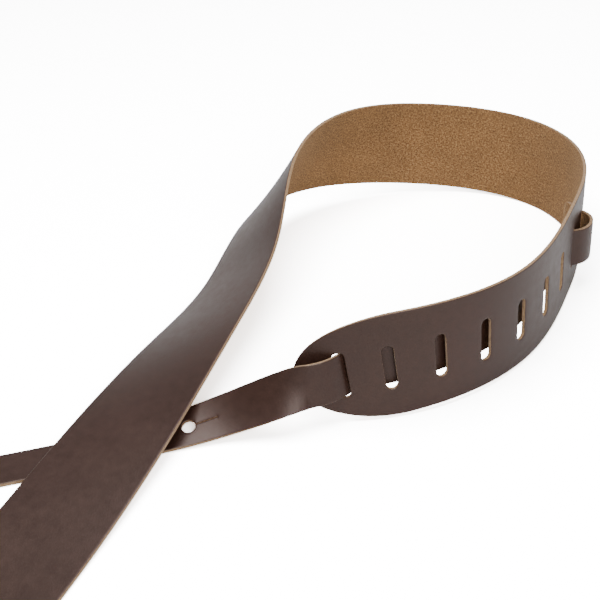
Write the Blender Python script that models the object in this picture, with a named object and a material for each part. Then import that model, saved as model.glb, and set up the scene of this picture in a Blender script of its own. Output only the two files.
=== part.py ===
"""A single-ply leather guitar strap as it lies on a table: a wide strap with a slotted end, and a narrow tail.

The wide strap stands on its lower edge in an open loop, turns over once, and runs out flat to its keyhole end.
The tail is threaded through the slots behind the loop, leaves through the end slot, and lies under the run.
Lengths are in metres and angles in degrees. +Z is up, and the table is at Z = 0.
"""

from math import cos, pi, radians, sin, sqrt

import bpy
import bmesh
import numpy as np
from mathutils import Matrix, Vector

# ---- driving dimensions
LEATHER = 0.0023
STRAP_WIDTH = 0.0635
TAIL_WIDTH = 0.025
GAP = 0.0003

SLOT_LENGTH = 0.027
SLOT_WIDTH = 0.007
SLOT_CORNER = 0.0025
SLOT_PITCH = 0.030
SLOT_DROP = 0.00125
END_SLOT = 0.0275
FIRST_SLOT = 0.0548
ADJUSTING_SLOTS = 8

BUTTON_HOLE = 0.008
BUTTON_SLIT = 0.017
SLIT_WIDTH = 0.001
SLIT_PUNCH = 0.002

# Places along the wide strap, measured from its slotted tip.
SLOTTED_TIP = 0.064
LOOP_STARTS = 0.305
RUN_STARTS = 0.720
RUN_ENDS = 0.950
FRONT_HOLE = 1.008
STRAP_LENGTH = 1.035
FRONT_TIP = 0.045

# Places along the tail's free part, measured from where it has left the end slot.
MIDDLE_HOLE = 0.0735
TAIL_FLEX = 0.235
LAST_HOLE = 0.306
TAIL_LENGTH = 0.325
TAIL_TIP = 0.012

# ---- how the wide strap lies: where its slotted tip's middle is, and which way it points there
STRAP_START = np.array((0.0508, -0.0383, 0.02412))
HEADING, CLIMB, LEAN = -16, 13, -14
# Bend (grain side out), twist and in-plane sway, in degrees per 100 mm, at stations in millimetres.
#                   station  bend twist  sway
STRAP_LIE = np.array(((0,    37,   21,   -7),
                      (75,   46,   10,   -8),
                      (150,  41,   2,    8),
                      (225,  4,    1,    -7),
                      (300,  50,   3,    0),
                      (375,  79,   8,    0),
                      (450,  39,   -4,   0),
                      (525,  51,   -32,  0),
                      (600,  49,   -35,  0),
                      (675,  -33,  -16,  0),
                      (750,  4,    -20,  0),
                      (825,  1.1,  -14.7, 0),
                      (900,  -5.6, -3.7, 0),
                      (940,  -7,   0.5,  0),
                      (980,  0,    0,    0),
                      (1035, 0,    0,    0)))

# ---- how the tail lies: first its route through the slots, in millimetres along the strap and out from it,
# then the free part's bend, twist and sway, as for the strap
TAIL_DROP = 0.0013
TAIL_ROUTE = ((291, -3.2), (283, -4.8), (275, -5.4), (269.3, -4.4), (264.8, 0), (260.9, 4.9), (256, 7.9),
              (249.8, 8.9), (243.7, 7.9), (238.7, 4.9), (234.8, 0), (230.2, -4.6), (222, -7.4), (205, -8.6),
              (175, -8.9), (145, -8.3), (115, -7), (85, -5.8), (60, -5.3), (46, -5.8), (38, -6), (32, -4.6),
              (27.5, 0), (23.2, 4.6), (18, 8.2), (12, 10.5))
TAIL_LIE = np.array(((0,   41,  142, 113),
                     (12,  109, 113, 9),
                     (25,  18,  78,  -9),
                     (50,  -71, 45,  30),
                     (80,  -23, 48,  0),
                     (120, -7,  7,   0),
                     (170, 0,   0,   0),
                     (330, 0,   0,   0)))

# ---- fineness
STEP = 0.005
ROUTE_STEP = 0.002
ROW = 0.006
ARC_POINTS = 8
MM = 0.001

GRAIN_COLOUR = (0.058, 0.034, 0.028, 1.0)


# ---- ribbons: a path is (places, centres, alongs, acrosses), and along x across points out of the grain side
def turned(vector, axis, angle):
    """The vector turned about the unit axis, in radians."""
    aside = np.cross(axis, vector)
    return vector * cos(angle) + aside * sin(angle) + axis * np.dot(axis, vector) * (1 - cos(angle))


def unit(vector):
    return vector / np.linalg.norm(vector)


def ribbon(start, along, across, lie, length):
    """The path of a ribbon that starts here and bends, twists and sways as lie says."""
    places = np.linspace(0, length, round(length / STEP) + 1)
    step = places[1] - places[0]
    bends, twists, sways = (
        np.radians(np.interp(places, lie[:, 0] * MM, lie[:, column])) / 0.1 * step for column in (1, 2, 3)
    )
    centre = np.array(start, float)
    rows = []
    for bend, twist, sway in zip(bends, twists, sways):
        rows.append((centre, along, across))
        centre = centre + turned(along, across, bend / 2) * step
        along = turned(along, across, bend)
        across = turned(across, along, twist)
        outward = np.cross(along, across)
        along = unit(turned(along, outward, sway))
        across = turned(across, outward, sway)
        across = unit(across - along * np.dot(along, across))
    centres, alongs, acrosses = (np.array(column) for column in zip(*rows))
    return places, centres, alongs, acrosses


def frame_at(path, place):
    """(centre, along, across, outward) at one place on a path."""
    places, centres, alongs, acrosses = path
    centre, along, across = (
        np.array([np.interp(place, places, table[:, axis]) for axis in range(3)])
        for table in (centres, alongs, acrosses)
    )
    along = unit(along)
    across = unit(across - along * np.dot(along, across))
    return centre, along, across, np.cross(along, across)


def strap_path():
    along = np.array((cos(radians(HEADING)), sin(radians(HEADING)), 0.0))
    across = np.array((0.0, 0.0, 1.0))
    outward = np.cross(along, across)
    along = turned(along, outward, radians(CLIMB))
    across = turned(across, outward, radians(CLIMB))
    across = turned(across, along, radians(LEAN))
    return ribbon(STRAP_START, along, across, STRAP_LIE, STRAP_LENGTH)


def smooth(points, step):
    """Points every step along a centripetal Catmull-Rom curve through the given points."""
    points = np.array(points, float)
    points = np.vstack((2 * points[0] - points[1], points, 2 * points[-1] - points[-2]))
    drawn = []
    for a, b, c, d in zip(points, points[1:], points[2:], points[3:]):
        knots = np.cumsum([0] + [np.linalg.norm(q - p) ** 0.5 for p, q in ((a, b), (b, c), (c, d))])
        for t in np.linspace(knots[1], knots[2], 24, endpoint=False):
            row = [a, b, c, d]
            for level in (1, 2, 3):
                spans = ((knots[i], knots[i + level]) if level < 3 else (knots[1], knots[2])
                         for i in range(4 - level))
                row = [p + (q - p) * (t - low) / (high - low) for p, q, (low, high) in zip(row, row[1:], spans)]
            drawn.append(row[0])
    drawn = np.array(drawn + [points[-2]])
    run = np.concatenate(([0], np.cumsum(np.linalg.norm(np.diff(drawn, axis=0), axis=1))))
    even = np.linspace(0, run[-1], round(run[-1] / step) + 1)
    return np.stack([np.interp(even, run, drawn[:, axis]) for axis in range(drawn.shape[1])], axis=-1)


def threaded_path(strap):
    """The tail's path through the slots, from its hidden tip to where it has left the end slot."""
    route = smooth(TAIL_ROUTE, ROUTE_STEP / MM) * MM
    frames = [frame_at(strap, place) for place, _ in route]
    centres = np.array([
        centre + outward * offset - across * TAIL_DROP
        for (centre, _, across, outward), (_, offset) in zip(frames, route)
    ])
    alongs = np.array([unit(step) for step in np.gradient(centres, axis=0)])
    acrosses = np.array([
        unit(along * np.dot(along, across) - across) for along, (_, _, across, _) in zip(alongs, frames)
    ])
    return np.arange(len(route)) * ROUTE_STEP, centres, alongs, acrosses


def free_path(threaded):
    """The rest of the tail, which carries on from the threaded part's outer end."""
    _, centres, alongs, acrosses = threaded
    return ribbon(centres[-1], alongs[-1], acrosses[-1], TAIL_LIE, TAIL_LENGTH)


# ---- widths
def tip_share(distance, tip):
    """How much of the full width there is at this distance from a rounded tip of this length."""
    inside = max(0.0, 1 - distance / tip)
    return sqrt(max(1 - inside**1.9, 0.004))


def strap_half_width(place):
    share = tip_share(place, SLOTTED_TIP) * tip_share(STRAP_LENGTH - place, FRONT_TIP)
    return STRAP_WIDTH / 2 * share


def threaded_half_width(place):
    return TAIL_WIDTH / 2 * tip_share(place, TAIL_TIP)


def free_half_width(place):
    return TAIL_WIDTH / 2 * tip_share(TAIL_LENGTH - place, TAIL_TIP)


# ---- solids
def rows_between(first, last):
    """Places from first to last, a row apart, and closer together near both ends."""
    count = max(4, round((last - first) / ROW))
    even = np.linspace(first, last, count + 1)
    near = np.array((0.0008, 0.0024))
    return np.concatenate((even[:1], first + near, even[1:-1], last - near[::-1], even[-1:]))


def mesh_object(name, points, faces):
    mesh = bpy.data.meshes.new(name)
    mesh.from_pydata([tuple(point) for point in points], [], faces)
    shape = bmesh.new()
    shape.from_mesh(mesh)
    bmesh.ops.recalc_face_normals(shape, faces=shape.faces)
    shape.to_mesh(mesh)
    shape.free()
    made = bpy.data.objects.new(name, mesh)
    bpy.context.scene.collection.objects.link(made)
    return made


def strip(name, path, first, last, half_width):
    """A closed strip of leather between two places on a path: three points across each face of each row."""
    points = []
    for place in rows_between(first, last):
        centre, _, across, outward = frame_at(path, place)
        half = half_width(place)
        for side in (-0.5, 0.5):
            for share in (-1, 0, 1):
                points.append(centre + across * half * share + outward * LEATHER * side)
    faces = []
    ring = (0, 1, 2, 5, 4, 3)
    for start in range(0, len(points) - 6, 6):
        for here, after in zip(ring, ring[1:] + ring[:1]):
            faces.append((start + here, start + after, start + 6 + after, start + 6 + here))
    for start in (0, len(points) - 6):
        faces.append([start + corner for corner in ring])
    return mesh_object(name, points, faces)


def slot_outline():
    """A slot's outline in (along, across): a rounded rectangle, a little nearer to the strap's lower edge."""
    outline = []
    for corner in range(4):
        turn = corner * pi / 2
        side_along = 1 if corner in (0, 3) else -1
        side_across = 1 if corner < 2 else -1
        for angle in np.linspace(turn, turn + pi / 2, ARC_POINTS // 2 + 1):
            outline.append((side_along * (SLOT_WIDTH / 2 - SLOT_CORNER) + SLOT_CORNER * cos(angle),
                            side_across * (SLOT_LENGTH / 2 - SLOT_CORNER) + SLOT_CORNER * sin(angle) - SLOT_DROP))
    return outline


def keyhole_outline(slit_sign):
    """A round button hole, with a slit along the strap to a small punch, on the side that slit_sign says."""
    hole, punch, half_slit = BUTTON_HOLE / 2, SLIT_PUNCH / 2, SLIT_WIDTH / 2
    open_hole = np.arcsin(half_slit / hole)
    open_punch = np.arcsin(half_slit / punch)
    outline = [(hole * cos(angle), hole * sin(angle))
               for angle in np.linspace(open_hole, 2 * pi - open_hole, 3 * ARC_POINTS)]
    outline += [(BUTTON_SLIT + punch * cos(angle), punch * sin(angle))
                for angle in np.linspace(pi + open_punch, 3 * pi - open_punch, ARC_POINTS)]
    return [(slit_sign * along, across) for along, across in outline]


def cut(body, path, places, outline):
    """Cuts the same outline through a strip at each of these places."""
    points, faces = [], []
    count = len(outline)
    for place in places:
        centre, along, across, outward = frame_at(path, place)
        first = len(points)
        for side in (-1.5, 1.5):
            points += [centre + along * u + across * v + outward * LEATHER * side for u, v in outline]
        faces.append(range(first, first + count))
        faces.append(range(first + count, first + 2 * count))
        for here in range(count):
            after = (here + 1) % count
            faces.append((first + here, first + after, first + count + after, first + count + here))
    cutter = mesh_object(body.name + "_cutter", points, [tuple(face) for face in faces])
    cutter.hide_render = True
    cutter.display_type = "WIRE"
    modifier = body.modifiers.new("holes", "BOOLEAN")
    modifier.operation = "DIFFERENCE"
    modifier.solver = "EXACT"
    modifier.object = cutter


def leather(name):
    """Smooth satin leather, dyed dark brown."""
    material = bpy.data.materials.new(name)
    material.use_nodes = True
    shader = material.node_tree.nodes["Principled BSDF"]
    shader.inputs["Base Color"].default_value = GRAIN_COLOUR
    shader.inputs["Roughness"].default_value = 0.42
    shader.inputs["Metallic"].default_value = 0.0
    return material


def joint_at(name, position, parent=None):
    """An empty on a joint's axis, and where it is: the pieces that move there hang from it."""
    joint = bpy.data.objects.new(name, None)
    bpy.context.scene.collection.objects.link(joint)
    joint.empty_display_size = 0.02
    joint.location = Vector(position)
    if parent:
        joint.parent, parent_position = parent
        joint.location -= Vector(parent_position)
    return joint, position


def hang(body, joint):
    """Moves a body's origin to its joint and parents it there, with the cutter that cuts it."""
    empty, position = joint
    for piece in [body] + [modifier.object for modifier in body.modifiers]:
        piece.data.transform(Matrix.Translation(-Vector(position)))
        piece.parent = empty


# ---- the assembly
def slotted_end(strap):
    body = strip("strap_slotted_end", strap, 0, LOOP_STARTS - GAP / 2, strap_half_width)
    slots = [END_SLOT] + [FIRST_SLOT + SLOT_PITCH * index for index in range(ADJUSTING_SLOTS)]
    cut(body, strap, slots, slot_outline())
    return body


def shoulder_loop(strap):
    return strip("strap_shoulder_loop", strap, LOOP_STARTS + GAP / 2, RUN_STARTS - GAP / 2, strap_half_width)


def front_run(strap):
    return strip("strap_front_run", strap, RUN_STARTS + GAP / 2, RUN_ENDS - GAP / 2, strap_half_width)


def front_keyhole_end(strap):
    body = strip("strap_keyhole_end", strap, RUN_ENDS + GAP / 2, STRAP_LENGTH, strap_half_width)
    cut(body, strap, [FRONT_HOLE], keyhole_outline(-1))
    return body


def tail_threaded_end(threaded):
    return strip("tail_threaded_end", threaded, 0, threaded[0][-1] - GAP / 2, threaded_half_width)


def tail_free_run(free):
    body = strip("tail_free_run", free, GAP / 2, TAIL_FLEX - GAP / 2, free_half_width)
    cut(body, free, [MIDDLE_HOLE], keyhole_outline(-1))
    return body


def tail_keyhole_end(free):
    body = strip("tail_keyhole_end", free, TAIL_FLEX + GAP / 2, TAIL_LENGTH, free_half_width)
    cut(body, free, [LAST_HOLE], keyhole_outline(-1))
    return body


def flex_point(path, place):
    """Where a flexing hinge's axis is: on the grain face, so the leather folds up and over itself."""
    centre, _, _, outward = frame_at(path, place)
    return centre + outward * LEATHER / 2


def build():
    for old in list(bpy.data.objects):
        bpy.data.objects.remove(old)
    strap = strap_path()
    threaded = threaded_path(strap)
    free = free_path(threaded)
    lift = joint_at("strap_lift_axis", flex_point(strap, RUN_STARTS))
    front_flex = joint_at("front_end_flex_axis", flex_point(strap, RUN_ENDS), lift)
    pull = joint_at("tail_pull_axis", free[1][0])
    tail_flex = joint_at("tail_end_flex_axis", flex_point(free, TAIL_FLEX), pull)
    hung = ((slotted_end(strap), None), (shoulder_loop(strap), None), (tail_threaded_end(threaded), None),
            (front_run(strap), lift), (front_keyhole_end(strap), front_flex),
            (tail_free_run(free), pull), (tail_keyhole_end(free), tail_flex))
    for body, joint in hung:
        if joint:
            hang(body, joint)
        body.data.materials.append(leather(body.name + "_leather"))


build()
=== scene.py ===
"""The looks of the leather guitar strap: a wide strap and the tail that is laced through its slots.

Each ply is drawn flat, in its own plane of (place along, place across), with its slots and keyholes.
It is then laid along the path that the CAD solids follow, with a grain face, a suede back and raw cut edges.
Lengths are in metres and angles in degrees. Names that end in _MM and the flat drawing are in millimetres.
"""

from math import cos, pi, radians, sin

import bpy
import numpy as np
from mathutils import Matrix, Vector, noise
from mathutils.geometry import delaunay_2d_cdt


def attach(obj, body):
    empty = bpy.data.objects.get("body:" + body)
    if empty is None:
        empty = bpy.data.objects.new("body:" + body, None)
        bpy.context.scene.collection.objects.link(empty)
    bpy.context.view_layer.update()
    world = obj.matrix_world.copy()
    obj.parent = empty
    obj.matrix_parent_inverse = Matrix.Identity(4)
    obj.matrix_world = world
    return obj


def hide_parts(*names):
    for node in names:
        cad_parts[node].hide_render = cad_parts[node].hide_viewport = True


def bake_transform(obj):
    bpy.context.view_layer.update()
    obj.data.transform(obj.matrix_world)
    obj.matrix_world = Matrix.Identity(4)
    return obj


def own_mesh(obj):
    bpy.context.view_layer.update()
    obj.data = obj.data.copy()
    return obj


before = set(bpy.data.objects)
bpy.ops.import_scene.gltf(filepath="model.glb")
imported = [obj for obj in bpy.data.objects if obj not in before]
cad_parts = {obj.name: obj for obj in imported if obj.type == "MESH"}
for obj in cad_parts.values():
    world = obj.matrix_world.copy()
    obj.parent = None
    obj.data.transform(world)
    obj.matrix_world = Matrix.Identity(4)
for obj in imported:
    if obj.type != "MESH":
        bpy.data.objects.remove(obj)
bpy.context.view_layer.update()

MM = 0.001

# ---- the leather's own sizes, as in the CAD
LEATHER = 0.0023
STRAP_WIDTH = 0.0635
TAIL_WIDTH = 0.025
SLOT_LENGTH = 0.027
SLOT_WIDTH = 0.007
SLOT_PITCH = 0.030
SLOT_DROP = 0.00125
END_SLOT = 0.0275
FIRST_SLOT = 0.0548
ADJUSTING_SLOTS = 8
LACED_SLOTS = (7, 8)
LACED_CORNER = 0.0025
BUTTON_HOLE = 0.008
BUTTON_SLIT = 0.017
SLOTTED_TIP = 0.064
FRONT_TIP = 0.045
TAIL_TIP = 0.012
TIP_POWER = 1.9

# ---- rounder free slots and finer slits than the CAD's
SLOT_CORNER = 0.0033
SLIT_WIDTH = 0.0004
SLIT_PUNCH = 0.0009

# ---- places along the strap, and along the tail from where it has left the end slot, as in the CAD
FRONT_HOLE = 1.008
STRAP_LENGTH = 1.035
MIDDLE_HOLE = 0.0735
LAST_HOLE = 0.306
TAIL_LENGTH = 0.325

# ---- how the strap lies, as in the CAD: bend, twist and sway in degrees per 100 mm, at stations in mm
STRAP_START = np.array((0.0508, -0.0383, 0.02412))
HEADING, CLIMB, LEAN = -16, 13, -14
STRAP_LIE = np.array(((0,    37,   21,   -7),
                      (75,   46,   10,   -8),
                      (150,  41,   2,    8),
                      (225,  4,    1,    -7),
                      (300,  50,   3,    0),
                      (375,  79,   8,    0),
                      (450,  39,   -4,   0),
                      (525,  51,   -32,  0),
                      (600,  49,   -35,  0),
                      (675,  -33,  -16,  0),
                      (750,  4,    -20,  0),
                      (825,  1.1,  -14.7, 0),
                      (900,  -5.6, -3.7, 0),
                      (940,  -7,   0.5,  0),
                      (980,  0,    0,    0),
                      (1035, 0,    0,    0)))

# ---- how the tail lies: its route through the slots, in mm along the strap and out from it, and then its free
# part's lie. Both are as in the CAD, but the hidden tip, which comes first in the route, is a little shorter
# and stands further off the suede.
TAIL_DROP = 0.0013
TAIL_ROUTE = ((285, -10.0), (280, -9.6), (274.5, -7.8), (269.3, -4.6), (264.8, 0), (260.9, 4.9), (256, 7.9),
              (249.8, 8.9), (243.7, 7.9), (238.7, 4.9), (234.8, 0), (230.2, -4.6), (222, -7.4), (205, -8.6),
              (175, -8.9), (145, -8.3), (115, -7), (85, -5.8), (60, -5.3), (46, -5.8), (38, -6), (32, -4.6),
              (27.5, 0), (23.2, 4.6), (18, 8.2), (12, 10.5))
TAIL_LIE = np.array(((0,   41,  142, 113),
                     (12,  109, 113, 9),
                     (25,  18,  78,  -9),
                     (50,  -71, 45,  30),
                     (80,  -23, 48,  0),
                     (120, -7,  7,   0),
                     (170, 0,   0,   0),
                     (330, 0,   0,   0)))
LIE_PER = 0.100
STEP = 0.005
ROUTE_STEP = 0.002
CURVE_POINTS = 24

# ---- where one visual piece ends and the next begins
SLOTTED_END_TO_SHOULDER = 0.220
SHOULDER_TO_FRONT = 0.860
LACED_TO_FAR_END = 0.140

# ---- how the flat drawing is meshed and how the cut edges are shaped, in millimetres
STRAP_GRID_MM = 2.0
TAIL_GRID_MM = 1.25
OUTLINE_STEP_MM = 1.5
RINGS_MM = (0.12, 0.4, 0.9, 1.6)
GRID_CLEARANCE_MM = 2.2
GRID_SLACK_MM = 0.05
ROLL_WIDTH_MM, GRAIN_ROLL_MM, SUEDE_ROLL_MM = 0.4, 0.20, 0.12
DISH_WIDTH_MM, DISH_MM = 2.2, 0.22
WALL_BULGE_MM, WALL_FUZZ_MM = 0.03, 0.09
FUZZ_PER_MM, FUZZ_PER_MM_UP = 0.9, 2.5
EDGE_RANGE_MM = 6.0
FAR_MM = 99.0
WALL_LEVELS = 3
ARC_STEPS = 12
TIP_STEPS = 40
SHARP_ANGLE = 50
TINY = 1e-9

# ---- colours
GRAIN_DARK, GRAIN_PALE = (0.0245, 0.0100, 0.0068), (0.0345, 0.0150, 0.0106)
GRAIN_SHEEN = (1.0, 0.84, 0.78)
SCUFFED = (0.155, 0.088, 0.052)
SUEDE_DARK, SUEDE_TAN, SUEDE_PALE = (0.085, 0.038, 0.013), (0.215, 0.108, 0.040), (0.440, 0.255, 0.115)
SUEDE_SHEEN = (0.75, 0.55, 0.35)
FIBRE_DARK, FIBRE_TAN, FIBRE_PALE = (0.120, 0.066, 0.030), (0.290, 0.175, 0.090), (0.480, 0.330, 0.195)
SOAKED_DYE = (0.060, 0.034, 0.022)

# ---- the view and the studio
AIM = Vector((0.0574, 0.0813, 0.0011))
VIEW_DISTANCE = 0.750
VIEW_ELEVATION = 32
VIEW_ROLL = -4
LENS, SENSOR = 67.95, 36.0
WORLD_STRENGTH = 0.35
FLOOR_WHITE = 0.80
FLOOR_GAIN = 9.0
FLOOR_REACH = 12.0
# Each softbox: its name, where it is, what it points at, its diameter and its power in watts.
SOFTBOXES = (("overhead_softbox", (-0.05, 0.05, 1.4), (0.0, 0.0, 0.0), 1.2, 28),
             ("low_back_softbox", (-0.9, 1.9, 0.30), (-0.05, 0.0, 0.03), 0.8, 1.5),
             ("front_softbox", (0.5, -1.5, 1.0), (0.1, 0.1, 0.03), 1.2, 22))


# ---- ribbons: a path is (places, centres, alongs, acrosses), and along x across points out of the grain side
def unit(vector):
    return vector / np.linalg.norm(vector)


def turned(vector, axis, angle):
    """The vector turned about the unit axis, in radians."""
    aside = np.cross(axis, vector)
    return vector * cos(angle) + aside * sin(angle) + axis * np.dot(axis, vector) * (1 - cos(angle))


def ribbon(start, along, across, lie, length):
    """The path of a ribbon that starts here and bends, twists and sways as lie says."""
    places = np.linspace(0, length, round(length / STEP) + 1)
    step = places[1] - places[0]
    bends, twists, sways = (
        np.radians(np.interp(places, lie[:, 0] * MM, lie[:, column])) / LIE_PER * step for column in (1, 2, 3)
    )
    centre = np.array(start, float)
    rows = []
    for bend, twist, sway in zip(bends, twists, sways):
        rows.append((centre, along, across))
        centre = centre + turned(along, across, bend / 2) * step
        along = turned(along, across, bend)
        across = turned(across, along, twist)
        outward = np.cross(along, across)
        along = unit(turned(along, outward, sway))
        across = turned(across, outward, sway)
        across = unit(across - along * np.dot(along, across))
    centres, alongs, acrosses = (np.array(column) for column in zip(*rows))
    return places, centres, alongs, acrosses


def frame_at(path, place):
    """(centre, along, across, outward) at one place on a path."""
    places, centres, alongs, acrosses = path
    centre, along, across = (
        np.array([np.interp(place, places, table[:, axis]) for axis in range(3)])
        for table in (centres, alongs, acrosses)
    )
    along = unit(along)
    across = unit(across - along * np.dot(along, across))
    return centre, along, across, np.cross(along, across)


def strap_path():
    along = np.array((cos(radians(HEADING)), sin(radians(HEADING)), 0.0))
    across = np.array((0.0, 0.0, 1.0))
    outward = np.cross(along, across)
    along = turned(along, outward, radians(CLIMB))
    across = turned(across, outward, radians(CLIMB))
    across = turned(across, along, radians(LEAN))
    return ribbon(STRAP_START, along, across, STRAP_LIE, STRAP_LENGTH)


def smooth(points, step):
    """Points every step along a centripetal Catmull-Rom curve through the given points."""
    points = np.array(points, float)
    points = np.vstack((2 * points[0] - points[1], points, 2 * points[-1] - points[-2]))
    drawn = []
    for a, b, c, d in zip(points, points[1:], points[2:], points[3:]):
        knots = np.cumsum([0] + [np.linalg.norm(q - p) ** 0.5 for p, q in ((a, b), (b, c), (c, d))])
        for t in np.linspace(knots[1], knots[2], CURVE_POINTS, endpoint=False):
            row = [a, b, c, d]
            for level in (1, 2, 3):
                spans = ((knots[i], knots[i + level]) if level < 3 else (knots[1], knots[2])
                         for i in range(4 - level))
                row = [p + (q - p) * (t - low) / (high - low)
                       for p, q, (low, high) in zip(row, row[1:], spans)]
            drawn.append(row[0])
    drawn = np.array(drawn + [points[-2]])
    run = np.concatenate(([0], np.cumsum(np.linalg.norm(np.diff(drawn, axis=0), axis=1))))
    even = np.linspace(0, run[-1], round(run[-1] / step) + 1)
    return np.stack([np.interp(even, run, drawn[:, axis]) for axis in range(drawn.shape[1])], axis=-1)


def threaded_path(strap):
    """The tail's path through the slots, and its route as (place along the strap, offset out from it)."""
    route = smooth(TAIL_ROUTE, ROUTE_STEP / MM) * MM
    frames = [frame_at(strap, place) for place, _ in route]
    centres = np.array([
        centre + outward * offset - across * TAIL_DROP
        for (centre, _, across, outward), (_, offset) in zip(frames, route)
    ])
    alongs = np.array([unit(step) for step in np.gradient(centres, axis=0)])
    acrosses = np.array([
        unit(along * np.dot(along, across) - across) for along, (_, _, across, _) in zip(alongs, frames)
    ])
    return (np.arange(len(route)) * ROUTE_STEP, centres, alongs, acrosses), route


def joined(first, second):
    """One path that runs along both."""
    offset = first[0][-1]
    return (np.concatenate((first[0][:-1], second[0] + offset)),) + tuple(
        np.concatenate((a[:-1], b)) for a, b in zip(first[1:], second[1:])
    )


def frames_along(path, wanted):
    """(centres, acrosses, outwards) at the wanted places, on a curve with no corners in it."""
    places, centres, alongs, acrosses = path
    index = np.clip(np.searchsorted(places, wanted, side="right") - 1, 0, len(places) - 2)
    span = (places[index + 1] - places[index])[:, None]
    t = ((wanted - places[index]) / span[:, 0])[:, None]
    # Hermite weights of both ends' values and slopes, and the weights' own slopes.
    h00, h10 = 2 * t**3 - 3 * t**2 + 1, t**3 - 2 * t**2 + t
    h01, h11 = -2 * t**3 + 3 * t**2, t**3 - t**2
    d00, d10, d11 = (6 * t**2 - 6 * t) / span, 3 * t**2 - 4 * t + 1, 3 * t**2 - 2 * t
    centre = (centres[index] * h00 + alongs[index] * h10 * span
              + centres[index + 1] * h01 + alongs[index + 1] * h11 * span)
    along = centres[index] * d00 + alongs[index] * d10 - centres[index + 1] * d00 + alongs[index + 1] * d11
    turn = np.gradient(acrosses, places, axis=0)
    across = (acrosses[index] * h00 + turn[index] * h10 * span
              + acrosses[index + 1] * h01 + turn[index + 1] * h11 * span)
    along /= np.linalg.norm(along, axis=1)[:, None]
    across -= along * (along * across).sum(axis=1)[:, None]
    across /= np.linalg.norm(across, axis=1)[:, None]
    return centre, across, np.cross(along, across)


# ---- flat outlines, in millimetres along and across the leather. The leather is on the left of each line.
def tip_curve(tip, half):
    """(distance from the tip, half width) along one side of a rounded tip, from the nose outwards."""
    turn = np.linspace(0, pi / 2, TIP_STEPS)
    return tip * (1 - np.cos(turn)), half * np.sqrt(np.maximum(1 - np.cos(turn) ** TIP_POWER, 0))


def lower_side(first, last, half, first_tip, last_tip, spacing):
    """The lower edge from first to last, with a rounded tip at an end whose tip isn't 0."""
    start, end = first + first_tip, last - last_tip
    run = np.linspace(start, end, max(2, round((end - start) / spacing) + 1))
    points = [(place, -half) for place in run]
    if first_tip:
        away, width = tip_curve(first_tip, half)
        points = [(first + a, -w) for a, w in zip(away[:-1], width[:-1])] + points
    if last_tip:
        away, width = tip_curve(last_tip, half)
        points += [(last - a, -w) for a, w in zip(away[::-1][1:], width[::-1][1:])]
    return points


def slot_outline(place, corner_radius):
    """A slot round this place: a rounded rectangle."""
    points = []
    for corner in range(4):
        turn = corner * pi / 2
        along = (SLOT_WIDTH / 2 - corner_radius) * (1 if corner in (0, 3) else -1)
        across = (SLOT_LENGTH / 2 - corner_radius) * (1 if corner < 2 else -1) - SLOT_DROP
        for angle in np.linspace(turn, turn + pi / 2, ARC_STEPS // 2 + 1):
            points.append(((place + along + corner_radius * cos(angle)) / MM,
                           (across + corner_radius * sin(angle)) / MM))
    return densified(points)[::-1]


def keyhole_outline(place):
    """A button hole at this place and its slit, which runs back along the leather to a small punch."""
    hole, punch, half_slit = BUTTON_HOLE / 2, SLIT_PUNCH / 2, SLIT_WIDTH / 2
    open_hole, open_punch = np.arcsin(half_slit / hole), np.arcsin(half_slit / punch)
    points = [(-hole * cos(angle), hole * sin(angle))
              for angle in np.linspace(open_hole, 2 * pi - open_hole, 3 * ARC_STEPS)]
    points += [(-BUTTON_SLIT - punch * cos(angle), punch * sin(angle))
               for angle in np.linspace(pi + open_punch, 3 * pi - open_punch, ARC_STEPS)]
    return densified([((place + along) / MM, across / MM) for along, across in points])


def densified(points):
    """The closed outline with points added on its long straight stretches."""
    filled = []
    for here, after in zip(points, points[1:] + points[:1]):
        here, after = np.array(here), np.array(after)
        count = max(1, round(np.linalg.norm(after - here) / OUTLINE_STEP_MM))
        filled += [tuple(here + (after - here) * k / count) for k in range(count)]
    return filled


def inset(points, distance, closed):
    """The line moved by this distance to its left, into the leather."""
    points = np.array(points)
    before = np.roll(points, 1, axis=0)
    after = np.roll(points, -1, axis=0)
    if not closed:
        before[0], after[-1] = points[0], points[-1]
    lefts = []
    for a, b in ((before, points), (points, after)):
        step = b - a
        size = np.linalg.norm(step, axis=1)[:, None]
        lefts.append(np.stack((-step[:, 1], step[:, 0]), axis=1) / np.maximum(size, TINY))
    left = lefts[0] + lefts[1]
    left /= np.maximum(np.linalg.norm(left, axis=1)[:, None], TINY)
    return points + left * distance


def inside(points, loop):
    """Which of the points are inside the closed loop."""
    x, y = points[:, 0][:, None], points[:, 1][:, None]
    x0, y0 = loop[:, 0][None], loop[:, 1][None]
    x1, y1 = np.roll(loop[:, 0], -1)[None], np.roll(loop[:, 1], -1)[None]
    crosses = (y0 > y) != (y1 > y)
    rise = np.where(y1 == y0, TINY, y1 - y0)
    return (crosses & (x < (x1 - x0) * (y - y0) / rise + x0)).sum(axis=1) % 2 == 1


def distances(points, edge):
    """Each point's distance from the nearest of the edge's points, or far if there are none."""
    nearest = np.full(len(points), FAR_MM)
    for corner in edge:
        nearest = np.minimum(nearest, np.linalg.norm(points - corner, axis=1))
    return nearest


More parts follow.
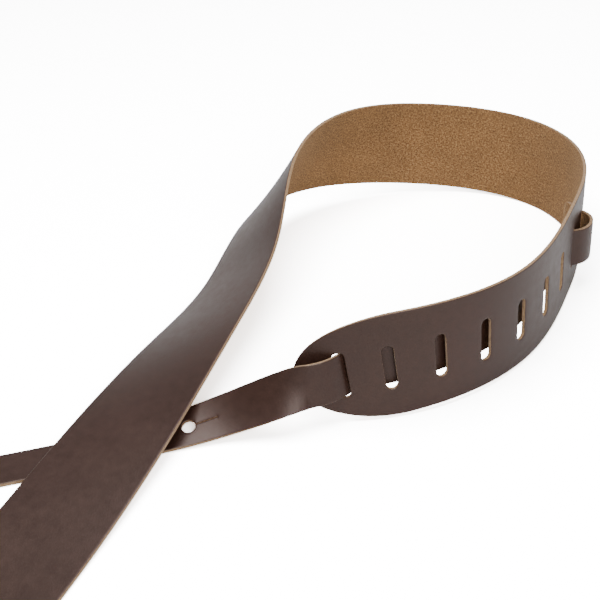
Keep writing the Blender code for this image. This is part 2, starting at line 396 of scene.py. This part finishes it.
# ---- one ply of leather, drawn flat, in millimetres
class Ply:
    """A stretch of leather between two places: its cut edges, the seams at its ends, and its holes."""

    def __init__(self, first, last, width, spacing, holes=(), first_tip=0, last_tip=0):
        self.first, self.last, self.half = first / MM, last / MM, width / MM / 2
        self.first_tip, self.last_tip = first_tip / MM, last_tip / MM
        self.spacing = spacing
        self.holes = [np.array(hole) for hole in holes]

    def edges(self):
        """The outer cut edges, anticlockwise, each from seam to seam: one if there is a tip, or else two."""
        lower = lower_side(self.first, self.last, self.half, self.first_tip, self.last_tip, self.spacing)
        upper = [(place, -across) for place, across in lower][::-1]
        if self.first_tip:
            return [np.array(upper[:-1] + lower)]
        if self.last_tip:
            return [np.array(lower + upper[1:])]
        return [np.array(lower), np.array(upper)]

    def columns(self):
        reach = self.half - GRID_CLEARANCE_MM
        return np.linspace(-reach, reach, max(2, round(2 * reach / self.spacing)) + 1)

    def seam_points(self, place, upward):
        """The points across a seam, between its two corners."""
        rings = {self.half - ring for ring in RINGS_MM}
        across = sorted(rings | set(self.columns()) | {-ring for ring in rings})
        return np.array([(place, value) for value in (across if upward else across[::-1])])

    def grid(self):
        count = max(2, round((self.last - self.first) / self.spacing))
        rows = np.linspace(self.first, self.last, count + 1)[1:-1]
        return np.array([(row, column) for row in rows for column in self.columns()])


class Drawing:
    """Points on the flat leather, each with its distance from the nearest cut and slot, and fixed edges."""

    def __init__(self):
        self.points, self.near_cut, self.near_slot = np.empty((0, 2)), np.empty(0), np.empty(0)
        self.edges = []

    def add(self, new, near_cut, near_slot):
        """Adds points and returns their indices."""
        first = len(self.points)
        self.points = np.concatenate((self.points, new))
        self.near_cut = np.append(self.near_cut, np.broadcast_to(near_cut, len(new)))
        self.near_slot = np.append(self.near_slot, np.broadcast_to(near_slot, len(new)))
        return list(range(first, len(self.points)))

    def add_cut(self, line, is_hole):
        """Adds a cut line, fixed, and rings of points beside it, and returns the line's indices."""
        indices = self.add(line, 0, 0 if is_hole else FAR_MM)
        self.edges += list(zip(indices, indices[1:] + (indices[:1] if is_hole else [])))
        for distance in RINGS_MM:
            moved = inset(line, distance, is_hole)
            self.add(moved if is_hole else moved[1:-1], distance, distance if is_hole else FAR_MM)
        return indices

    def add_seam(self, ply, start, end):
        """Adds a fixed line across the leather between two points that are there, and returns its indices."""
        place, across = self.points[start]
        new = ply.seam_points(place, across < 0)
        seam = [start] + self.add(new, ply.half - np.abs(new[:, 1]), FAR_MM) + [end]
        self.edges += list(zip(seam, seam[1:]))
        return seam

    def add_grid(self, ply, outer):
        """Adds the ply's grid, as far as it is on the leather and clear of the rings."""
        grid = ply.grid()
        gap = distances(grid, np.concatenate(ply.edges() + ply.holes))
        kept = on_leather(grid, self.points[outer], ply.holes) & (gap > GRID_CLEARANCE_MM - GRID_SLACK_MM)
        hole_points = [point for hole in ply.holes for point in hole]
        self.add(grid[kept], gap[kept], distances(grid[kept], hole_points))


def on_leather(points, outer, holes):
    """Which of the points are inside the outer loop and outside every hole."""
    kept = inside(points, outer)
    for hole in holes:
        kept &= ~inside(points, hole)
    return kept


def flat_triangles(drawing, outer, holes):
    """The anticlockwise triangles between the drawing's points that are on the leather."""
    corners = [Vector(point) for point in drawing.points]
    vertices, _, faces, origins, _, _ = delaunay_2d_cdt(corners, drawing.edges, [], 0, 1e-5)
    if len(vertices) != len(corners):
        raise ValueError(f"{len(corners)} points became {len(vertices)}")
    triangles = np.array([origin[0] for origin in origins])[np.array(faces)]
    triangles = triangles[on_leather(drawing.points[triangles].mean(axis=1), drawing.points[outer], holes)]
    a, b, c = (drawing.points[triangles[:, corner]] for corner in range(3))
    area = (b[:, 0] - a[:, 0]) * (c[:, 1] - a[:, 1]) - (b[:, 1] - a[:, 1]) * (c[:, 0] - a[:, 0])
    triangles[area < 0] = triangles[area < 0][:, ::-1]
    return triangles[np.abs(area) > TINY]


def drawn_flat(ply):
    """(drawing, its triangles, its cut lines as (indices, whether closed), its seams as indices)."""
    drawing = Drawing()
    edges = [drawing.add_cut(line, False) for line in ply.edges()]
    holes = [drawing.add_cut(hole, True) for hole in ply.holes]
    seams = [drawing.add_seam(ply, edge[-1], after[0]) for edge, after in zip(edges, edges[1:] + edges[:1])]
    outer = [index for edge, seam in zip(edges, seams) for index in edge + seam[1:-1]]
    drawing.add_grid(ply, outer)
    cuts = [(edge, False) for edge in edges] + [(hole, True) for hole in holes]
    return drawing, flat_triangles(drawing, outer, ply.holes), cuts, seams


# ---- the leather's thickness
def grain_height(near_cut, near_slot):
    """Half the leather's thickness less the roll of its cut edge and the dish round a slot."""
    roll = np.clip(1 - near_cut / ROLL_WIDTH_MM, 0, 1) ** 2 * GRAIN_ROLL_MM
    dish = np.clip(1 - near_slot / DISH_WIDTH_MM, 0, 1) ** 2 * DISH_MM
    return LEATHER / MM / 2 - roll - dish


def suede_height(near_cut):
    return SUEDE_ROLL_MM * np.clip(1 - near_cut / ROLL_WIDTH_MM, 0, 1) ** 2 - LEATHER / MM / 2


def wall_points(line, closed, level, top, bottom):
    """The cut wall's points at one level between the two faces, slightly bulged and furry."""
    share = level / (WALL_LEVELS + 1)
    outward = line - inset(line, 1.0, closed)
    points = []
    for (along, across), normal, up in zip(line, outward, top + (bottom - top) * share):
        fuzz = noise.noise(Vector((along * FUZZ_PER_MM, across * FUZZ_PER_MM, up * FUZZ_PER_MM_UP)))
        out = WALL_BULGE_MM * sin(pi * share) + fuzz * WALL_FUZZ_MM
        points.append((along + normal[0] * out, across + normal[1] * out, up))
    return np.array(points)


class Solid:
    """A ply's faces and cut walls: points (along, across, outward), and faces with their looks."""

    GRAIN, SUEDE, RAW_EDGE = range(3)

    def __init__(self, ply):
        drawing, triangles, cuts, seams = drawn_flat(ply)
        self.count = len(drawing.points)
        self.flat, self.top = drawing.points, grain_height(drawing.near_cut, drawing.near_slot)
        self.bottom = suede_height(drawing.near_cut)
        self.points = np.concatenate((np.column_stack((self.flat, self.top)),
                                      np.column_stack((self.flat, self.bottom))))
        self.near_cut = np.tile(drawing.near_cut, 2)
        self.faces = [tuple(t) for t in triangles] + [tuple(t[::-1] + self.count) for t in triangles]
        self.looks = [self.GRAIN] * len(triangles) + [self.SUEDE] * len(triangles)
        self.levels_at = {}
        for cut, closed in cuts:
            self.add_wall(np.array(cut), closed)
        for seam in seams:
            self.add_cap(seam)

    def add_wall(self, cut, closed):
        """The wall along a cut line, from the grain to the suede."""
        rows = [cut]
        for level in range(1, WALL_LEVELS + 1):
            new = wall_points(self.flat[cut], closed, level, self.top[cut], self.bottom[cut])
            rows.append(np.arange(len(self.points), len(self.points) + len(new)))
            self.points = np.concatenate((self.points, new))
            self.near_cut = np.append(self.near_cut, np.zeros(len(new)))
        rows.append(cut + self.count)
        for here in range(len(cut) if closed else len(cut) - 1):
            after = (here + 1) % len(cut)
            for upper, lower in zip(rows, rows[1:]):
                self.add_face((upper[here], lower[here], lower[after], upper[after]))
        for end in (0, -1):
            self.levels_at[cut[end]] = [row[end] for row in rows[1:-1]]

    def add_cap(self, seam):
        """The flat face across a seam."""
        down = self.levels_at[seam[0]]
        up = self.levels_at[seam[-1]][::-1]
        self.add_face([seam[0]] + down + [index + self.count for index in seam] + up + seam[:0:-1])

    def add_face(self, corners):
        self.faces.append(tuple(corners))
        self.looks.append(self.RAW_EDGE)


def ply_mesh(name, ply, path):
    """The ply as a closed mesh, laid along the path: grain, suede and raw edge faces."""
    solid = Solid(ply)
    centre, across, outward = frames_along(path, solid.points[:, 0] * MM)
    laid = centre + across * (solid.points[:, 1:2] * MM) + outward * (solid.points[:, 2:] * MM)
    mesh = bpy.data.meshes.new(name)
    faces = [tuple(int(index) for index in face) for face in solid.faces]
    mesh.from_pydata([tuple(point) for point in laid], [], faces)
    mesh.polygons.foreach_set("material_index", np.array(solid.looks, np.int32))
    place = mesh.attributes.new("leather_place", "FLOAT_VECTOR", "POINT")
    place.data.foreach_set("vector", (solid.points * MM).astype(np.float32).ravel())
    near = mesh.attributes.new("edge_distance", "FLOAT", "POINT")
    near.data.foreach_set("value", np.clip(solid.near_cut / EDGE_RANGE_MM, 0, 1).astype(np.float32))
    mesh.shade_smooth()
    mesh.set_sharp_from_angle(angle=radians(SHARP_ANGLE))
    mesh.update()
    return placed(name, mesh)


def placed(name, data):
    """A new object in the scene."""
    made = bpy.data.objects.new(name, data)
    bpy.context.scene.collection.objects.link(made)
    return made


# ---- materials
class Nodes:
    """A short way to write a material's nodes."""

    def __init__(self, name):
        self.material = bpy.data.materials.new(name)
        self.material.use_nodes = True
        self.tree = self.material.node_tree
        self.shader = self.tree.nodes["Principled BSDF"]

    def add(self, kind, inputs=None, **settings):
        node = self.tree.nodes.new(kind)
        for key, value in settings.items():
            setattr(node, key, value)
        for key, value in (inputs or {}).items():
            if isinstance(value, bpy.types.NodeSocket):
                self.tree.links.new(value, node.inputs[key])
            else:
                node.inputs[key].default_value = value
        return node

    def place(self):
        """The point's place on the flat leather, which stays the same when the leather bends."""
        return self.add("ShaderNodeAttribute", attribute_name="leather_place").outputs["Vector"]

    def edge_distance(self):
        """The distance from the nearest cut edge, as a share of EDGE_RANGE_MM."""
        return self.add("ShaderNodeAttribute", attribute_name="edge_distance").outputs["Fac"]

    def stretched(self, vector, scale):
        return self.add("ShaderNodeMapping", {"Vector": vector, "Scale": scale}).outputs["Vector"]

    def noise(self, vector, scale, detail=3.0, roughness=0.5, distortion=0.0):
        """Noise with this many patches to a metre."""
        inputs = {"Vector": vector, "Scale": scale, "Detail": detail, "Roughness": roughness,
                  "Distortion": distortion}
        return self.add("ShaderNodeTexNoise", inputs).outputs["Fac"]

    def cells(self, vector, scale):
        return self.add("ShaderNodeTexVoronoi", {"Vector": vector, "Scale": scale}).outputs["Distance"]

    def ramp(self, value, stops):
        node = self.add("ShaderNodeValToRGB", {"Fac": value})
        elements = node.color_ramp.elements
        while len(elements) < len(stops):
            elements.new(0.5)
        for element, (position, colour) in zip(elements, stops):
            element.position = position
            element.color = (*colour, 1.0)
        return node.outputs["Color"]

    def ranged(self, value, low, high, to_low, to_high):
        inputs = {"Value": value, "From Min": low, "From Max": high, "To Min": to_low, "To Max": to_high}
        return self.add("ShaderNodeMapRange", inputs).outputs["Result"]

    def math(self, operation, a, b):
        return self.add("ShaderNodeMath", {0: a, 1: b}, operation=operation).outputs["Value"]

    def mix(self, amount, a, b, blend="MIX"):
        node = self.add("ShaderNodeMix", data_type="RGBA", blend_type=blend)
        for socket, value in (("Factor_Float", amount), ("A_Color", a), ("B_Color", b)):
            target = next(s for s in node.inputs if s.identifier == socket)
            if isinstance(value, bpy.types.NodeSocket):
                self.tree.links.new(value, target)
            else:
                target.default_value = value
        return next(s for s in node.outputs if s.identifier == "Result_Color")

    def scaled(self, value, factor):
        return self.math("MULTIPLY", value, factor)

    def bump(self, height, strength, distance):
        inputs = {"Height": height, "Strength": strength, "Distance": distance}
        return self.add("ShaderNodeBump", inputs).outputs["Normal"]

    def shade(self, **inputs):
        """Sets the shader's sockets, by names with _ for each space."""
        for key, value in inputs.items():
            socket = self.shader.inputs[key.replace("_", " ")]
            if isinstance(value, bpy.types.NodeSocket):
                self.tree.links.new(value, socket)
            else:
                socket.default_value = value
        return self.material


def grain_leather():
    """The dyed grain side: dark brown, satin, with fine pores and a little wear along the cut edges."""
    n = Nodes("dark_brown_grain")
    place = n.place()
    broad = n.noise(place, scale=16, detail=3, roughness=0.55)
    mottle = n.noise(place, scale=190, detail=4, roughness=0.6)
    colour = n.ramp(broad, ((0.30, GRAIN_DARK), (0.70, GRAIN_PALE)))
    shade = n.ramp(mottle, ((0.30, (0.86, 0.86, 0.86)), (0.72, (1.10, 1.09, 1.08))))
    colour = n.mix(1.0, colour, shade, "MULTIPLY")
    near_edge = n.ranged(n.edge_distance(), 0.0, 0.12, 1.0, 0.0)
    rubbed = n.ranged(n.noise(place, scale=900, detail=3, roughness=0.6), 0.42, 0.68, 0.0, 0.55)
    colour = n.mix(n.math("MULTIPLY", near_edge, rubbed), colour, (*SCUFFED, 1.0))
    pores = n.cells(place, scale=1500)
    creases = n.noise(place, scale=620, detail=5, roughness=0.6, distortion=0.6)
    normal = n.bump(n.math("ADD", n.scaled(pores, 0.5), creases), strength=0.28, distance=0.00016)
    gloss = n.ranged(n.math("ADD", broad, mottle), 0.7, 1.3, 0.33, 0.43)
    return n.shade(Base_Color=colour, Roughness=gloss, Normal=normal, Specular_IOR_Level=0.5,
                   Specular_Tint=(*GRAIN_SHEEN, 1.0))


def suede():
    """The raw back: golden tan, with dark and pale flecks and a matt nap."""
    n = Nodes("tan_suede")
    place = n.place()
    flecks = n.noise(place, scale=820, detail=5, roughness=0.78, distortion=0.2)
    drift = n.noise(place, scale=40, detail=3, roughness=0.5)
    colour = n.ramp(flecks, ((0.36, SUEDE_DARK), (0.50, SUEDE_TAN), (0.64, SUEDE_PALE)))
    shade = n.ramp(drift, ((0.30, (0.88, 0.88, 0.88)), (0.70, (1.08, 1.07, 1.05))))
    colour = n.mix(1.0, colour, shade, "MULTIPLY")
    nap = n.noise(place, scale=2600, detail=3, roughness=0.6)
    normal = n.bump(n.math("ADD", flecks, n.scaled(nap, 0.5)), strength=0.7, distance=0.0004)
    return n.shade(Base_Color=colour, Roughness=0.95, Normal=normal, Specular_IOR_Level=0.2,
                   Sheen_Weight=0.25, Sheen_Roughness=0.6, Sheen_Tint=(*SUEDE_SHEEN, 1.0))


def raw_edge():
    """The cut edge: pale tan fibres in layers, with the dye soaked in just under the grain."""
    n = Nodes("raw_tan_edge")
    place = n.place()
    fibres = n.noise(n.stretched(place, (0.35, 0.35, 2.2)), scale=1900, detail=4, roughness=0.65)
    patches = n.noise(place, scale=300, detail=3, roughness=0.6)
    colour = n.ramp(fibres, ((0.30, FIBRE_DARK), (0.50, FIBRE_TAN), (0.72, FIBRE_PALE)))
    height = n.add("ShaderNodeSeparateXYZ", {0: place}).outputs["Z"]
    uneven_height = n.math("ADD", height, n.scaled(patches, 0.0004))
    soaked = n.ranged(uneven_height, 0.00088, 0.00125, 0.0, 0.85)
    colour = n.mix(soaked, colour, (*SOAKED_DYE, 1.0))
    normal = n.bump(n.math("ADD", fibres, patches), strength=0.7, distance=0.0003)
    return n.shade(Base_Color=colour, Roughness=0.9, Normal=normal, Specular_IOR_Level=0.25,
                   Sheen_Weight=0.15, Sheen_Roughness=0.6)


def floor_material():
    """A white sweep that the camera sees brighter than it lights the leather, as if overexposed."""
    n = Nodes("pale_floor")
    n.shade(Base_Color=(FLOOR_WHITE, FLOOR_WHITE, FLOOR_WHITE, 1.0), Roughness=0.9, Specular_IOR_Level=0.0)
    seen = n.add("ShaderNodeBsdfDiffuse", {"Color": (FLOOR_GAIN, FLOOR_GAIN, FLOOR_GAIN, 1.0)})
    by_camera = n.add("ShaderNodeLightPath").outputs["Is Camera Ray"]
    both = n.add("ShaderNodeMixShader", {0: by_camera, 1: n.shader.outputs["BSDF"], 2: seen.outputs["BSDF"]})
    n.tree.links.new(both.outputs["Shader"], n.tree.nodes["Material Output"].inputs["Surface"])
    return n.material


# ---- the pieces
def adjusting_slot(number):
    """A slot's place along the strap: they are numbered from 1, next to the end slot."""
    return FIRST_SLOT + SLOT_PITCH * (number - 1)


def slots_between(first, last):
    """The outlines of the slots in this stretch of the strap, squarer where the tail is laced through."""
    slots = [(END_SLOT, LACED_CORNER)] + [
        (adjusting_slot(number), LACED_CORNER if number in LACED_SLOTS else SLOT_CORNER)
        for number in range(1, ADJUSTING_SLOTS + 1)
    ]
    return [slot_outline(place, corner) for place, corner in slots if first < place < last]


def strap_ply(first, last, holes, **tips):
    return Ply(first, last, STRAP_WIDTH, STRAP_GRID_MM, holes, **tips)


def tail_ply(first, last, holes=(), **tips):
    return Ply(first, last, TAIL_WIDTH, TAIL_GRID_MM, holes, **tips)


def strap_pieces(path):
    near, far = SLOTTED_END_TO_SHOULDER, SHOULDER_TO_FRONT
    slotted = strap_ply(0, near, slots_between(0, near), first_tip=SLOTTED_TIP)
    shoulder = strap_ply(near, far, slots_between(near, far))
    front = strap_ply(far, STRAP_LENGTH, [keyhole_outline(FRONT_HOLE)], last_tip=FRONT_TIP)
    return (ply_mesh("leather_slotted_end", slotted, path), ply_mesh("leather_shoulder", shoulder, path),
            ply_mesh("leather_front_end", front, path))


def crossings(route, threaded_places):
    """The places along the tail where it passes through each slot that it is laced through."""
    return [float(threaded_places[np.argmin(np.abs(route - (adjusting_slot(number), 0)).sum(axis=1))])
            for number in LACED_SLOTS]


def tail_pieces(path, near_slot, far_slot, exit_place):
    seam = exit_place + LACED_TO_FAR_END
    tip = tail_ply(0, far_slot, first_tip=TAIL_TIP)
    slack = tail_ply(far_slot, near_slot)
    laced = tail_ply(near_slot, seam, [keyhole_outline(exit_place + MIDDLE_HOLE)])
    far_end = tail_ply(seam, exit_place + TAIL_LENGTH, [keyhole_outline(exit_place + LAST_HOLE)],
                       last_tip=TAIL_TIP)
    return (ply_mesh("leather_tail_tip", tip, path), ply_mesh("leather_tail_slack_loop", slack, path),
            ply_mesh("leather_tail_laced", laced, path), ply_mesh("leather_tail_far_end", far_end, path))


def build_pieces():
    strap = strap_path()
    threaded, route = threaded_path(strap)
    free = ribbon(threaded[1][-1], threaded[2][-1], threaded[3][-1], TAIL_LIE, TAIL_LENGTH)
    near_slot, far_slot = crossings(route, threaded[0])
    slotted, shoulder, front = strap_pieces(strap)
    tip, slack, laced, far_end = tail_pieces(joined(threaded, free), near_slot, far_slot, threaded[0][-1])
    looks = (grain_leather(), suede(), raw_edge())
    for piece in (slotted, shoulder, front, tip, slack, laced, far_end):
        for look in looks:
            piece.data.materials.append(look)
    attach(slotted, "strap_loop")
    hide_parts("strap_slotted_end")
    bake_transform(shoulder)
    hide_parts("strap_shoulder_loop", "strap_front_run")
    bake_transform(front)
    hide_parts("strap_keyhole_end")
    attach(tip, "strap_loop")
    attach(slack, "strap_loop")
    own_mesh(slack)
    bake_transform(laced)
    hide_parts("tail_threaded_end", "tail_free_run")
    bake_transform(far_end)
    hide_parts("tail_keyhole_end")


# ---- the studio
def floor():
    mesh = bpy.data.meshes.new("floor")
    corners = [(x * FLOOR_REACH, y * FLOOR_REACH, 0) for x, y in ((-1, -1), (1, -1), (1, 1), (-1, 1))]
    mesh.from_pydata(corners, [], [(0, 1, 2, 3)])
    mesh.materials.append(floor_material())
    placed("floor", mesh)


def softbox(name, position, aim, diameter, power):
    light = bpy.data.lights.new(name, "AREA")
    light.shape = "DISK"
    light.size = diameter
    light.energy = power
    made = placed(name, light)
    made.location = position
    made.rotation_euler = (Vector(aim) - Vector(position)).to_track_quat("-Z", "Y").to_euler()


def studio():
    world = bpy.data.worlds.new("studio")
    world.use_nodes = True
    background = world.node_tree.nodes["Background"]
    background.inputs["Color"].default_value = (1.0, 1.0, 1.0, 1.0)
    background.inputs["Strength"].default_value = WORLD_STRENGTH
    bpy.context.scene.world = world
    for box in SOFTBOXES:
        softbox(*box)
    floor()


def camera():
    tilt, roll = radians(VIEW_ELEVATION), radians(VIEW_ROLL)
    forward = Vector((0, cos(tilt), -sin(tilt)))
    level = Vector((1, 0, 0))
    upright = level.cross(forward)
    right = level * cos(roll) + upright * sin(roll)
    up = upright * cos(roll) - level * sin(roll)
    made = placed("camera", bpy.data.cameras.new("camera"))
    made.data.lens, made.data.sensor_width = LENS, SENSOR
    turned_to = Matrix((right, up, -forward)).transposed().to_4x4()
    made.matrix_world = Matrix.Translation(AIM - forward * VIEW_DISTANCE) @ turned_to
    bpy.context.scene.camera = made


camera()
studio()
build_pieces()
